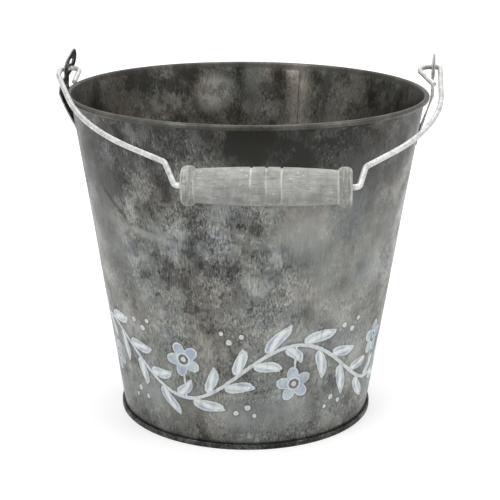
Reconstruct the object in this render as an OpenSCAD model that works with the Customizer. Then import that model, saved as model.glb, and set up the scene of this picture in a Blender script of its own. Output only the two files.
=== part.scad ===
// Galvanised sheet bucket with a wired rim, a double-seamed foot, two stamped ears,
// a wire bail and a turned wooden grip. Millimetres, +Z up.
// The origin is the centre of the ring that stands on the floor. The ears lie on the X axis,
// and the bail hangs towards -Y.

/* [Body] */
// Outside diameter over the rolled rim
rim_d = 200; // [170:1:260]
// Height from the floor to the top of the rim
body_h = 184; // [150:1:260]
// Outside diameter over the foot seam
foot_d = 145; // [120:1:160]
// Thickness of the sheet that the wall and the bottom are made of
sheet_t = 0.5; // [0.4:0.05:0.7]
// Clearance between two folded layers of sheet
fold_gap = 0.05; // [0.03:0.01:0.1]
// Width of the lap where the two ends of the wall sheet meet
lap_w = 9; // [6:0.5:14]
// Direction of the lap, counted from the right ear towards the back
lap_angle = 76; // [40:1:140]

/* [Rim] */
// Diameter of the steel wire that the rim is rolled around
rim_wire_d = 1.9; // [1.5:0.1:3]
// Part of the roll left open, seen from the centre of the rim wire
roll_open_angle = 50; // [40:1:90]

/* [Foot] */
// Height of the double seam that joins the wall and the bottom
foot_seam_h = 3; // [2.8:0.1:5]
// Height of the upper face of the bottom above the floor
base_recess = 5; // [4:0.5:12]

/* [Ears] */
// Thickness of the stamped ear
ear_t = 0.8; // [0.6:0.1:1.2]
// Distance up the leaf from the ear's bend to the lower hole
hole_reach = 10; // [9.5:0.5:14]
// Distance between the lower hole and the upper hole
hole_pitch = 4.4; // [4.4:0.1:6]
// Distance up the leaf from the ear's bend to its tip
tip_reach = 22; // [21.5:0.5:28]
// Length of the pointed leaf that holds the holes
leaf_len = 18; // [17:0.5:20]
// Greatest width of the leaf
leaf_w = 10.5; // [10:0.5:14]
// Greatest width of the ear below the rim
tail_w = 13; // [11:0.5:16]
// Reach of the ear's tail below the rim
tail_drop = 30; // [26:1:40]
// Reach of the tail's outline above the rim, up to the ear's neck
tail_rise = 9.5; // [8.5:0.5:11]
// Length of the tail's end that is spot-welded flat to the wall
weld_pad = 6; // [4:0.5:8]
// Clearance between the ear and the wall or rim that it passes
ear_gap = 0.05; // [0.02:0.01:0.2]
// Inward lean of the left ear above the rim
left_lean = 19; // [0:1:20]
// Turn of the left ear about its own height
left_turn = 20; // [0:1:20]
// Height of the left ear's bend above the rim
left_bend_rise = 0.8; // [-1:0.1:3]
// Inward lean of the right ear above the rim
right_lean = 0; // [0:1:20]
// Turn of the right ear about its own height
right_turn = 12; // [0:1:20]
// Height above the rim at which the right ear's leaf starts
right_bend_rise = -0.4; // [-1:0.1:3]

/* [Bail] */
// Diameter of the bail wire
bail_wire_d = 2.8; // [2.4:0.1:3.2]
// Clearance around the bail wire in the pivot hole
pivot_clearance = 0.35; // [0.3:0.05:0.5]
// Distance that the grip lies beyond the rim, measured along the bail
grip_beyond = 43.5; // [30:0.1:60]
// Clearance left between the bail and the bucket where the bail comes to rest
rest_gap = 0.4; // [0.4:0.1:2]
// Sideways shift of the grip from the middle of the bail
grip_shift = 14.2; // [0:0.1:18]
// Angle between the grip and the line through the two pivot holes
grip_skew = 1.2; // [0:0.1:3]
// Distance from the left ear out to the outer leg of its hook
left_hook_out = 4.2; // [4:0.1:6]
// Distance from the left ear in to the inner leg of its hook
left_hook_in = 6.5; // [6.5:0.1:7.5]
// Bend radius at the outer leg of the left hook
left_outer_r = 3.4; // [2.6:0.1:3.4]
// Bend radius at the inner leg of the left hook
left_hook_r = 4.3; // [3:0.1:4.4]
// Length of the left hook's inner leg
left_hook_len = 19.5; // [14:0.5:22]
// Angle at which the left hook's inner leg closes towards the ear
left_toe = 1; // [0:0.5:1]
// Distance from the right ear out to the outer leg of its hook
right_hook_out = 3.6; // [3.4:0.1:6]
// Distance from the right ear in to the inner leg of its hook
right_hook_in = 9.8; // [9:0.1:11]
// Bend radius at the outer leg of the right hook
right_outer_r = 3; // [2.6:0.1:3]
// Bend radius at the inner leg of the right hook
right_hook_r = 5.5; // [4:0.1:5.6]
// Length of the right hook's inner leg
right_hook_len = 25; // [16:0.5:26]
// Angle at which the right hook's inner leg closes towards the ear
right_toe = 18.5; // [0:0.5:19]
// Length of the left leg before it bends inwards
left_leg = 9.6; // [6:0.1:14]
// Angle at which the left leg leaves its first bend
left_leg_angle = 18.5; // [10:0.1:24]
// Angle of the left arm where it reaches the shoulder
left_arm_angle = 49.2; // [48:0.1:56]
// Angle at which the right leg leaves its hook
right_leg_angle = 3.5; // [0:0.1:8]
// Angle of the right arm where it reaches the shoulder
right_arm_angle = 41.2; // [40:0.1:50]
// Radius of the long bend between the left leg and the left arm
left_elbow_r = 142; // [100:1:160]
// Radius of the long bend between the right leg and the right arm
right_elbow_r = 118; // [90:1:125]
// Distance that the left shoulder stands above the grip
left_shoulder_rise = 25.6; // [20:0.1:30]
// Distance that the right shoulder stands above the grip
right_shoulder_rise = 20.3; // [18:0.1:28]
// Distance of the left shoulder beyond the end of the grip
left_shoulder_out = 10.2; // [7:0.1:12]
// Distance of the right shoulder beyond the end of the grip
right_shoulder_out = 6.6; // [5.5:0.1:12]
// Bend radius of the shoulders
shoulder_bend_r = 7; // [3:0.5:8]
// Bend radius of the corners beside the grip
corner_bend_r = 2.8; // [2.6:0.1:4]

/* [Grip] */
// Length of the wooden grip
grip_len = 78.5; // [60:0.5:96]
// Diameter of the rounded bead at each end
end_bead_d = 18.7; // [18:0.1:26]
// Width of the rounded bead at each end
end_bead_w = 6.4; // [4:0.1:9]
// Diameter of the barrel beside the end beads
neck_d = 15.7; // [13:0.1:18]
// Diameter of the barrel at its middle
barrel_d = 18; // [16:0.1:26]
// Distance between the turned grooves
groove_pitch = 7; // [4:0.1:12]
// Number of turned grooves
groove_count = 3; // [1:1:5]
// Radius of a turned groove
groove_r = 0.7; // [0.4:0.1:1.2]
// Clearance around the bail wire in the grip
grip_clearance = 0.3; // [0.2:0.05:0.6]

/* [Hidden] */
$fn = 96;

sheet_color = "#77797a";
patina_color = "#4c4d4b";
wire_color = "#c9cbca";
wood_color = "#a9aaa5";

// Layers of the foot seam, counted inwards from the outermost one
layer_pitch = sheet_t + fold_gap;
function seam_layer_r(layer) = foot_d / 2 - sheet_t / 2 - layer * layer_pitch;
seam_low = sheet_t / 2;
seam_high = foot_seam_h - sheet_t / 2;

// Centre of the rim wire in the section of the rim, and the line of the rolled sheet around it
roll_r = rim_wire_d / 2 + fold_gap + sheet_t / 2;
bead_r = roll_r + sheet_t / 2;
bead_center = [rim_d / 2 - bead_r, body_h - bead_r];

// The wall rises from the top of the seam and meets the roll as a tangent
wall_foot = [seam_layer_r(3), foot_seam_h];
foot_to_bead = bead_center - wall_foot;
wall_angle = atan2(foot_to_bead[0], foot_to_bead[1]) - asin(roll_r / norm(foot_to_bead));
wall_len = sqrt(foot_to_bead[0] * foot_to_bead[0] + foot_to_bead[1] * foot_to_bead[1] - roll_r * roll_r);
function wall_point(rise, outward = 0) =
    wall_foot + rise * [sin(wall_angle), cos(wall_angle)] + outward * [cos(wall_angle), -sin(wall_angle)];
wall_top = wall_point(wall_len);

// Clear distance that the lap keeps from the bottom and from the rim
lap_margin = 3;

// Ear, with its outline made of a long tail and a leaf that crosses the tail's upper end at the neck
hole_d = bail_wire_d + 2 * pivot_clearance;
rim_level = body_h - 2 * bead_r;
tail_half_len = (tail_drop + tail_rise) / 2;
tail_mid_z = body_h - tail_drop + tail_half_len;
leaf_mid = tip_reach - leaf_len / 2;
function lens_arc_r(half_len, half_w) = (half_len * half_len + half_w * half_w) / (2 * half_w);
function lens_half_w(half_len, half_w, along) =
    sqrt(pow(lens_arc_r(half_len, half_w), 2) - along * along) - lens_arc_r(half_len, half_w) + half_w;
function tail_half_w(z) = lens_half_w(tail_half_len, tail_w / 2, z - tail_mid_z);

// Height along the wall at which the weld pad ends and the tail starts to stand off
pad_top_z = body_h - tail_drop + weld_pad;
pad_rise = (pad_top_z - wall_foot[1]) / cos(wall_angle);
pad_outward = sheet_t / 2 + ear_gap + ear_t / 2;

// Middle plane of an ear from its turn, and its pivot as [distance from the middle, height]
function ear_stand_off(turn) = tail_half_w(rim_level) * sin(turn);
function ear_bend_x(turn) = rim_d / 2 + ear_gap + ear_stand_off(turn) + ear_t / 2;
function ear_pivot(lean, turn, bend_rise, hole) =
    [ear_bend_x(turn) - hole * sin(lean) * cos(turn), body_h + bend_rise + hole * cos(lean)];
tail_steps = 4;

// The bail hangs in the lower hole of the left ear and in the upper hole of the right ear
left_hole = hole_reach;
right_hole = hole_reach + hole_pitch;
left_pivot = ear_pivot(left_lean, left_turn, left_bend_rise, left_hole);
right_pivot = ear_pivot(right_lean, right_turn, right_bend_rise, right_hole);
pivot_tilt = atan2(right_pivot[1] - left_pivot[1], left_pivot[0] + right_pivot[0]);
pivot_z = left_pivot[1] + left_pivot[0] * tan(pivot_tilt);

// Bail, drawn flat: x runs along the pivot axis and y from the pivot towards the grip
left_pivot_x = left_pivot[0] / cos(pivot_tilt);
right_pivot_x = right_pivot[0] / cos(pivot_tilt);
grip_mid_x = (right_pivot_x - left_pivot_x) / 2 + grip_shift;
bail_reach = rim_d / 2 + grip_beyond;
first_bend_r = 12;
corner_out = corner_bend_r + 0.2;
corner_half = grip_len / 2 + corner_out;

// One half of the bail, with x counted outwards from the middle of the pivot axis
function arm_vertex(leg, leg_angle, shoulder, arm_angle) =
    let (
        run = (leg[0] - shoulder[0] - (shoulder[1] - leg[1]) * tan(arm_angle)) / (tan(arm_angle) - tan(leg_angle)),
        y = leg[1] - run
    )
    [leg[0] - (y - leg[1]) * tan(leg_angle), y];

// The long bend is as wide as asked for, or as wide as its two straight neighbours leave room for
straight_min = 4;
function elbow_r(wanted, leg, vertex, shoulder, bend) =
    min(wanted, (min(norm(vertex - leg), norm(shoulder - vertex)) - straight_min) / tan(bend / 2));

left_out = left_pivot_x + left_hook_out;
left_in = left_pivot_x - left_hook_in;
left_shoulder = [grip_len / 2 - grip_mid_x + left_shoulder_out, bail_reach - left_shoulder_rise];
left_vertex = arm_vertex([left_out, left_leg], left_leg_angle, left_shoulder, left_arm_angle);
left_bend_r = elbow_r(
    left_elbow_r, [left_out, left_leg], left_vertex, left_shoulder, left_arm_angle - left_leg_angle
);
left_half = [
    [left_in + left_hook_len * tan(left_toe), left_hook_len, 0],
    [left_in, 0, left_hook_r],
    [left_out, 0, left_outer_r],
    [left_out, left_leg, first_bend_r],
    [left_vertex[0], left_vertex[1], left_bend_r],
    [left_shoulder[0], left_shoulder[1], shoulder_bend_r],
    [corner_half * cos(grip_skew) - grip_mid_x, bail_reach - corner_half * sin(grip_skew), corner_bend_r]
];

right_out = right_pivot_x + right_hook_out;
right_in = right_pivot_x - right_hook_in;
right_shoulder = [grip_len / 2 + grip_mid_x + right_shoulder_out, bail_reach - right_shoulder_rise];
right_vertex = arm_vertex([right_out, 0], right_leg_angle, right_shoulder, right_arm_angle);
right_bend_r = elbow_r(
    right_elbow_r, [right_out, 0], right_vertex, right_shoulder, right_arm_angle - right_leg_angle
);
right_half = [
    [right_in + right_hook_len * tan(right_toe), right_hook_len, 0],
    [right_in, 0, right_hook_r],
    [right_out, 0, right_outer_r],
    [right_vertex[0], right_vertex[1], right_bend_r],
    [right_shoulder[0], right_shoulder[1], shoulder_bend_r],
    [corner_half * cos(grip_skew) + grip_mid_x, bail_reach + corner_half * sin(grip_skew), corner_bend_r]
];

function last(list) = len(list) - 1;
bail_path = concat(
    [for (p = left_half) [-p[0], -p[1], p[2]]],
    [for (i = [last(right_half) : -1 : 0]) [right_half[i][0], -right_half[i][1], right_half[i][2]]]
);

// Headings, bends and points along a flat path of [x, y, bend radius]
function heading(p, q) = atan2(q[1] - p[1], q[0] - p[0]);
function turned(from, to) = (to - from) - 360 * round((to - from) / 360);
function bend_angle(path, i) =
    (i == 0 || i == last(path)) ? 0 : turned(heading(path[i - 1], path[i]), heading(path[i], path[i + 1]));
function bend_tangent(path, i) = path[i][2] * tan(abs(bend_angle(path, i)) / 2);
function bend_point(path, i, share) =
    let (
        way = heading(path[i - 1], path[i]),
        side = sign(bend_angle(path, i)),
        start = [path[i][0], path[i][1]] - bend_tangent(path, i) * [cos(way), sin(way)],
        middle = start + side * path[i][2] * [-sin(way), cos(way)],
        at = way - 90 * side + share * bend_angle(path, i)
    )
    middle + path[i][2] * [cos(at), sin(at)];
function straight_point(path, i, share) =
    (1 - share) * bend_point(path, i, 1) + share * bend_point(path, i + 1, 0);

// The bail drops from its pivot until its wire or its grip is as near the bucket as the clearance lets it
samples = 12;
bail_points = concat(
    [for (i = [1 : last(bail_path) - 1], k = [0 : samples]) bend_point(bail_path, i, k / samples)],
    [for (i = [1 : last(bail_path) - 2], k = [1 : samples - 1]) straight_point(bail_path, i, k / samples)]
);
grip_points = [
    for (k = [0 : samples])
        [grip_mid_x, -bail_reach] + (k / samples - 0.5) * grip_len * [cos(grip_skew), -sin(grip_skew)]
];
function off_bead(r, z) = norm([r, z] - bead_center) - bead_r;
function off_wall(r, z) = abs(([r, z] - wall_foot) * [cos(wall_angle), -sin(wall_angle)]) - sheet_t / 2;
function off_bucket(p, angle) =
    let (
        drop = p[1] * sin(angle),
        z = pivot_z + p[0] * sin(pivot_tilt) + drop * cos(pivot_tilt),
        r = norm([p[0] * cos(pivot_tilt) - drop * sin(pivot_tilt), p[1] * cos(angle)])
    )
    z < bead_center[1] ? min(off_bead(r, z), off_wall(r, z)) : off_bead(r, z);
function room(angle) = min(
    min([for (p = bail_points) off_bucket(p, angle)]) - bail_wire_d / 2,
    min([for (p = grip_points) off_bucket(p, angle)]) - max(end_bead_d, barrel_d) / 2
);
steepest = 24;
drop_step = 0.5;
function settled(angle) = room(angle) >= rest_gap ? angle : settled(angle - drop_step);
rest_angle = settled(steepest);

// Strip of sheet in section, along a list of points, with its outer corners rounded
module sheet_strip(points) {
    for (i = [0 : len(points) - 2]) {
        run = points[i + 1] - points[i];
        translate(points[i])
            rotate(atan2(run[1], run[0]))
                translate([0, -sheet_t / 2])
                    square([norm(run), sheet_t]);
    }
    for (i = [1 : len(points) - 2])
        translate(points[i])
            circle(d = sheet_t, $fn = 32);
}

// Section of the sheet rolled around the rim wire, with its edge tucked in beside the wall
module rolled_edge() {
    open_from = 180 - wall_angle;
    open_to = open_from + roll_open_angle;
    reach = 2 * bead_r;
    translate(bead_center)
        difference() {
            circle(r = bead_r, $fn = 64);
            circle(r = bead_r - sheet_t, $fn = 64);
            polygon([
                [0, 0],
                reach * [cos(open_from), sin(open_from)],
                reach * [cos(open_to), sin(open_to)]
            ]);
        }
}

// Conical wall with its seam hook at the foot, its rolled edge at the rim and its lap at the back
module bucket_wall() {
    hook_r = seam_layer_r(1);
    fold_z = seam_low + layer_pitch;
    hook_top = foot_seam_h - sheet_t - fold_gap;
    lap_low = (base_recess + lap_margin - wall_foot[1]) / cos(wall_angle);
    lap_high = wall_len - lap_margin;
    color(sheet_color) {
        rotate_extrude($fn = 180) {
            sheet_strip([[hook_r, hook_top], [hook_r, fold_z], [wall_foot[0], fold_z], wall_foot, wall_top]);
            rolled_edge();
        }
        intersection() {
            rotate_extrude($fn = 180)
                polygon([
                    wall_point(lap_low, -1.5 * sheet_t),
                    wall_point(lap_low, 0),
                    wall_point(lap_high, 0),
                    wall_point(lap_high, -1.5 * sheet_t)
                ]);
            rotate([0, 0, lap_angle])
                translate([0, -lap_w / 2, 0])
                    cube([rim_d, lap_w, body_h]);
        }
    }
}

// Steel wire inside the rolled rim
module rim_wire() {
    color(wire_color)
        rotate_extrude($fn = 180)
            translate(bead_center)
                circle(d = rim_wire_d, $fn = 48);
}

// Recessed bottom, whose edge is folded around the wall's hook to make the foot seam
module bucket_base() {
    inner_r = seam_layer_r(4);
    outer_r = seam_layer_r(0);
    hook_r = seam_layer_r(2);
    hook_end = seam_low + layer_pitch + sheet_t / 2 + fold_gap;
    disc_z = base_recess - sheet_t / 2;
    color(patina_color)
        rotate_extrude($fn = 180)
            sheet_strip([
                [0, disc_z],
                [inner_r, disc_z],
                [inner_r, seam_low],
                [outer_r, seam_low],
                [outer_r, seam_high],
                [hook_r, seam_high],
                [hook_r, hook_end]
            ]);
}

// Pointed leaf outline, standing on its own middle
module lens(half_len, half_w) {
    arc_r = lens_arc_r(half_len, half_w);
    intersection() {
        translate([half_w - arc_r, 0])
            circle(r = arc_r, $fn = 180);
        translate([arc_r - half_w, 0])
            circle(r = arc_r, $fn = 180);
    }
}

// Flat plate across the X axis, from an outline drawn in Y and Z
module upright_plate() {
    rotate([90, 0, 90])
        linear_extrude(height = ear_t, center = true)
            children();
}

// Thin level slice of the ear's tail
module tail_slice(x, y, z, turn) {
    slice_h = 0.02;
    translate([x, y, z])
        rotate([0, 0, turn])
            cube([ear_t, 2 * tail_half_w(z), slice_h], center = true);
}

// Stamped ear on the +X side: a welded pad, a tail that passes the rim, and a leaf with two holes.
// The centre of the hole that holds the bail lies above the X axis.
module ear(lean, turn, bend_rise, hole) {
    bend_x = ear_bend_x(abs(turn));
    bend_y = hole * sin(lean) * sin(turn);
    bend_z = body_h + bend_rise;
    pad_top = wall_point(pad_rise, pad_outward);
    plate_w = 2 * tail_w;
    difference() {
        union() {
            translate([pad_top[0], 0, pad_top[1]])
                rotate([0, wall_angle, 0])
                    upright_plate()
                        intersection() {
                            translate([0, tail_mid_z - pad_top_z])
                                lens(tail_half_len, tail_w / 2);
                            translate([-plate_w / 2, -weld_pad])
                                square([plate_w, weld_pad]);
                        }
            for (step = [0 : tail_steps - 1]) {
                low = step / tail_steps;
                high = (step + 1) / tail_steps;
                hull() {
                    tail_slice(
                        pad_top[0] + low * (bend_x - pad_top[0]),
                        low * bend_y,
                        pad_top[1] + low * (rim_level - pad_top[1]),
                        low * turn
                    );
                    tail_slice(
                        pad_top[0] + high * (bend_x - pad_top[0]),
                        high * bend_y,
                        pad_top[1] + high * (rim_level - pad_top[1]),
                        high * turn
                    );
                }
            }
            hull() {
                tail_slice(bend_x, bend_y, rim_level, turn);
                tail_slice(bend_x, bend_y, bend_z, turn);
            }
            translate([bend_x, bend_y, bend_z])
                rotate([0, 0, turn])
                    rotate([0, -lean, 0])
                        upright_plate() {
                            translate([0, leaf_mid])
                                lens(leaf_len / 2, leaf_w / 2);
                            intersection() {
                                translate([0, tail_mid_z - bend_z])
                                    lens(tail_half_len, tail_w / 2);
                                translate([-plate_w / 2, 0])
                                    square([plate_w, tip_reach]);
                            }
                        }
        }
        for (reach = [hole_reach, hole_reach + hole_pitch])
            translate([bend_x, bend_y, bend_z])
                rotate([0, 0, turn])
                    rotate([0, -lean, 0])
                        translate([0, 0, reach])
                            rotate([0, lean, 0])
                                rotate([0, 0, -turn])
                                    rotate([0, 90, 0])
                                        cylinder(d = hole_d, h = 8 * ear_t, center = true, $fn = 48);
    }
}

module left_ear() {
    color(patina_color)
        mirror([1, 0, 0])
            ear(left_lean, left_turn, left_bend_rise, left_hole);
}

module right_ear() {
    color(patina_color)
        ear(right_lean, -right_turn, right_bend_rise, right_hole);
}

// Thin collar over the line where a straight stretch of wire runs into a bend
module joint_collar(d) {
    collar_h = 0.2;
    rotate([0, 90, 0])
        cylinder(d = d + 0.02, h = collar_h, center = true, $fn = 32);
}

// Round wire along a flat path of [x, y, bend radius], with true arcs at its bends
module wire_along(path, d) {
    for (i = [0 : len(path) - 2]) {
        way = heading(path[i], path[i + 1]);
        start = bend_tangent(path, i);
        end = bend_tangent(path, i + 1);
        run = norm([path[i + 1][0] - path[i][0], path[i + 1][1] - path[i][1]]);
        translate([path[i][0], path[i][1], 0])
            rotate([0, 0, way])
                translate([start, 0, 0])
                    rotate([0, 90, 0])
                        cylinder(d = d, h = run - start - end, $fn = 32);
    }
    for (i = [1 : len(path) - 2]) {
        angle = bend_angle(path, i);
        translate([path[i][0], path[i][1], 0])
            rotate([0, 0, heading(path[i - 1], path[i])])
                translate([-bend_tangent(path, i), 0, 0]) {
                    joint_collar(d);
                    translate([0, sign(angle) * path[i][2], 0]) {
                        rotate([0, 0, angle > 0 ? -90 : 90 + angle])
                            rotate_extrude(angle = abs(angle), $fn = 72)
                                translate([path[i][2], 0])
                                    circle(d = d, $fn = 32);
                        rotate([0, 0, angle])
                            translate([0, -sign(angle) * path[i][2], 0])
                                joint_collar(d);
                    }
                }
    }
}

// Carries what is drawn flat to where the bail rests on the rim
module at_rest() {
    translate([0, 0, pivot_z])
        rotate([0, -pivot_tilt, 0])
            rotate([rest_angle, 0, 0])
                children();
}

// Wire bail with an open hook at each end, resting forwards
module bail() {
    color(wire_color)
        at_rest()
            wire_along(bail_path, bail_wire_d);
}

// Section of the grip, with its length along Y
module grip_section() {
    barrel_len = grip_len - 2 * end_bead_w;
    swell = (barrel_d - neck_d) / 2;
    swell_r = (barrel_len * barrel_len / 4 + swell * swell) / (2 * swell);
    bead_round = end_bead_w * 0.4;
    difference() {
        union() {
            intersection() {
                translate([barrel_d / 2 - swell_r, 0])
                    circle(r = swell_r, $fn = 720);
                translate([0, -barrel_len / 2])
                    square([barrel_d, barrel_len]);
            }
            for (side = [-1, 1])
                translate([0, side * (grip_len - end_bead_w) / 2]) {
                    translate([0, -end_bead_w / 2])
                        square([end_bead_d / 2 - bead_round, end_bead_w]);
                    translate([0, bead_round - end_bead_w / 2])
                        square([end_bead_d / 2, end_bead_w - 2 * bead_round]);
                    for (edge = [-1, 1])
                        translate([end_bead_d / 2 - bead_round, edge * (end_bead_w / 2 - bead_round)])
                            circle(r = bead_round, $fn = 48);
                }
        }
        translate([0, -grip_len])
            square([bail_wire_d / 2 + grip_clearance, 2 * grip_len]);
        for (i = [0 : groove_count - 1])
            translate([barrel_d / 2 + groove_r * 0.2, (i - (groove_count - 1) / 2) * groove_pitch])
                circle(r = groove_r, $fn = 32);
    }
}

// Turned wooden grip that spins on the straight stretch of the bail
module grip() {
    color(wood_color)
        at_rest()
            translate([grip_mid_x, -bail_reach, 0])
                rotate([0, 0, -grip_skew])
                    rotate([0, 90, 0])
                        rotate_extrude($fn = 96)
                            grip_section();
}

bucket_wall();
rim_wire();
bucket_base();
left_ear();
right_ear();
bail();
grip();
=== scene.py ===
"""Dressed model of a small galvanized bucket with a wire bail and a turned wooden grip."""

import logging
import math
from collections.abc import Sequence
from dataclasses import dataclass, field
from enum import Enum

import bmesh
import bpy
from mathutils import Matrix, Vector, noise


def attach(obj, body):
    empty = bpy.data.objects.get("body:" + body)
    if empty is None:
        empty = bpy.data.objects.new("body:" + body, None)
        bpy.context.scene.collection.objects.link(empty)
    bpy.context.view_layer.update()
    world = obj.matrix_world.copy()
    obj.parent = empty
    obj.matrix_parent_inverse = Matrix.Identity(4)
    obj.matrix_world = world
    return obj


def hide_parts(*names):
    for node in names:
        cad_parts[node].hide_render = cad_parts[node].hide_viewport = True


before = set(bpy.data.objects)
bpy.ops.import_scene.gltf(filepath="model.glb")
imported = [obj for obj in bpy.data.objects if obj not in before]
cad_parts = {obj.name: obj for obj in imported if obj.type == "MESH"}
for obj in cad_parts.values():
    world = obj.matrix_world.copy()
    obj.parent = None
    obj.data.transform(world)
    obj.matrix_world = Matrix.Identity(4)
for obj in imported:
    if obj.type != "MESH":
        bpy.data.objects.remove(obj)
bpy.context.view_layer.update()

MM = 0.001
FULL_TURN = 2 * math.pi
log = logging.getLogger("bucket")


class Side(Enum):
    """The side of the bucket that an ear or a half of the bail is on."""

    LEFT = -1
    RIGHT = 1


# Small helpers for meshes, paths and nodes


def linear(hex_colour: str) -> tuple[float, float, float, float]:
    """Turns an sRGB hex colour into linear light.

    Args:
        hex_colour: a colour such as "#8a8c86".

    Returns:
        Red, green, blue and an alpha of 1.
    """
    parts = [int(hex_colour[i : i + 2], 16) / 255 for i in (1, 3, 5)]
    r, g, b = (c / 12.92 if c <= 0.04045 else ((c + 0.055) / 1.055) ** 2.4 for c in parts)
    return (r, g, b, 1.0)


def add_node(tree: bpy.types.NodeTree, kind: str, inputs: dict | None = None, **settings) -> bpy.types.Node:
    """Adds one shader node with its settings and its links.

    Args:
        tree: the material's node tree.
        kind: the node's type, such as "ShaderNodeMath".
        inputs: input name or number to a field, a node, a socket or a plain value.
        settings: properties of the node itself.

    Returns:
        The new node.
    """
    node = tree.nodes.new(kind)
    for name, value in settings.items():
        setattr(node, name, value)
    for key, value in (inputs or {}).items():
        if isinstance(value, Field):
            value = value.socket
        if isinstance(value, bpy.types.Node):
            value = value.outputs[0]
        if isinstance(value, bpy.types.NodeSocket):
            tree.links.new(value, node.inputs[key])
        else:
            node.inputs[key].default_value = value
    return node


class Field:
    """A number that varies over a surface. Arithmetic on it is done by the material's nodes."""

    def __init__(self, tree: bpy.types.NodeTree, source: bpy.types.Node | bpy.types.NodeSocket) -> None:
        """Keeps the socket that carries the number."""
        self.tree = tree
        self.socket = source.outputs[0] if isinstance(source, bpy.types.Node) else source

    def then(self, operation: str, *others: "Field | float") -> "Field":
        """Works out a new number from this one.

        Args:
            operation: the name of the sum, such as "SINE" or "MAXIMUM".
            others: the further numbers that it takes.

        Returns:
            The new number.
        """
        numbers = dict(enumerate((self, *others)))
        return Field(self.tree, add_node(self.tree, "ShaderNodeMath", numbers, operation=operation))

    def stretch(self, low: float, high: float, new_low: float = 0.0, new_high: float = 1.0) -> "Field":
        """Turns one range into another and stops at its ends.

        Args:
            low: where the old range starts.
            high: where the old range ends.
            new_low: what low becomes.
            new_high: what high becomes.

        Returns:
            The new number.
        """
        ends = {0: self, 1: low, 2: high, 3: new_low, 4: new_high}
        return Field(self.tree, add_node(self.tree, "ShaderNodeMapRange", ends))

    def __add__(self, other: "Field | float") -> "Field":
        """Adds."""
        return self.then("ADD", other)

    def __sub__(self, other: "Field | float") -> "Field":
        """Takes away."""
        return self.then("SUBTRACT", other)

    def __rsub__(self, other: float) -> "Field":
        """Takes this number away from a plain one."""
        return self.then("MULTIPLY_ADD", -1.0, other)

    def __mul__(self, other: "Field | float") -> "Field":
        """Multiplies."""
        return self.then("MULTIPLY", other)

    def __truediv__(self, other: "Field | float") -> "Field":
        """Divides."""
        return self.then("DIVIDE", other)

    def away_from(self, other: "Field") -> "Field":
        """Distance from the origin of the point with these two coordinates."""
        return (self * self + other * other).then("SQRT")

    __radd__ = __add__
    __rmul__ = __mul__


def set_ramp(node: bpy.types.Node, stops: Sequence[tuple[float, str]]) -> bpy.types.Node:
    """Gives a colour ramp its stops.

    Args:
        node: the colour ramp node.
        stops: pairs of position and hex colour, lowest first.

    Returns:
        The same node.
    """
    elements = node.color_ramp.elements
    while len(elements) < len(stops):
        elements.new(0.5)
    for element, (position, colour) in zip(elements, stops):
        element.position = position
        element.color = linear(colour)
    return node


def new_piece(bm: bmesh.types.BMesh, name: str, material: bpy.types.Material, crease_deg: float = 40) -> bpy.types.Object:
    """Makes an object of a finished mesh, smooth-shaded up to an angle.

    Args:
        bm: the mesh; it is freed here.
        name: the piece's name.
        material: its finish.
        crease_deg: edges sharper than this stay sharp.

    Returns:
        The linked object.
    """
    mesh = bpy.data.meshes.new(name)
    bm.to_mesh(mesh)
    bm.free()
    mesh.materials.append(material)
    mesh.set_sharp_from_angle(angle=math.radians(crease_deg))
    piece = bpy.data.objects.new(name, mesh)
    bpy.context.scene.collection.objects.link(piece)
    return piece


def apply_modifiers(piece: bpy.types.Object) -> None:
    """Bakes a piece's modifiers into its mesh.

    Args:
        piece: the object; it keeps its name and place.
    """
    bpy.context.view_layer.update()
    seen = piece.evaluated_get(bpy.context.evaluated_depsgraph_get())
    mesh = bpy.data.meshes.new_from_object(seen)
    piece.modifiers.clear()
    piece.data = mesh


def path_edges(bm: bmesh.types.BMesh, points: list[Vector]) -> list[bmesh.types.BMVert]:
    """Lays a string of edges through a few points.

    Args:
        bm: the mesh to add to.
        points: the points in order.

    Returns:
        The new vertices in order.
    """
    verts = [bm.verts.new(p) for p in points]
    for a, b in zip(verts, verts[1:]):
        bm.edges.new((a, b))
    return verts


def spin_round(bm: bmesh.types.BMesh, steps: int) -> None:
    """Turns everything in the mesh once round the bucket's own axis.

    Args:
        bm: the mesh that holds the section.
        steps: how many strips go round.
    """
    bmesh.ops.spin(
        bm,
        geom=bm.verts[:] + bm.edges[:],
        cent=(0, 0, 0),
        axis=(0, 0, 1),
        angle=FULL_TURN,
        steps=steps,
        use_merge=True,
    )
    bmesh.ops.recalc_face_normals(bm, faces=bm.faces[:])


# Finishes


def start_material(name: str) -> tuple[bpy.types.Material, bpy.types.NodeTree, bpy.types.Node, bpy.types.NodeSocket]:
    """Starts a material.

    Args:
        name: what the real material is called.

    Returns:
        The material, its tree, its shader and the object coordinates in metres.
    """
    material = bpy.data.materials.new(name)
    material.use_nodes = True
    tree = material.node_tree
    place = add_node(tree, "ShaderNodeTexCoord").outputs["Object"]
    return material, tree, tree.nodes["Principled BSDF"], place


def grain_field(
    tree: bpy.types.NodeTree,
    place: bpy.types.Node | bpy.types.NodeSocket,
    size_mm: float,
    detail: float = 3,
    rough: float = 0.6,
) -> Field:
    """Soft random mottling about zero.

    Args:
        tree: the material's node tree.
        place: the coordinates that it is laid in.
        size_mm: how wide one blot is.
        detail: how many finer layers it has.
        rough: how strong the finer layers are.

    Returns:
        The mottling, mostly within 0.2 of zero.
    """
    noise_inputs = {"Vector": place, "Scale": 1 / (size_mm * MM), "Detail": detail, "Roughness": rough}
    return Field(tree, add_node(tree, "ShaderNodeTexNoise", noise_inputs)) - 0.5


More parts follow.
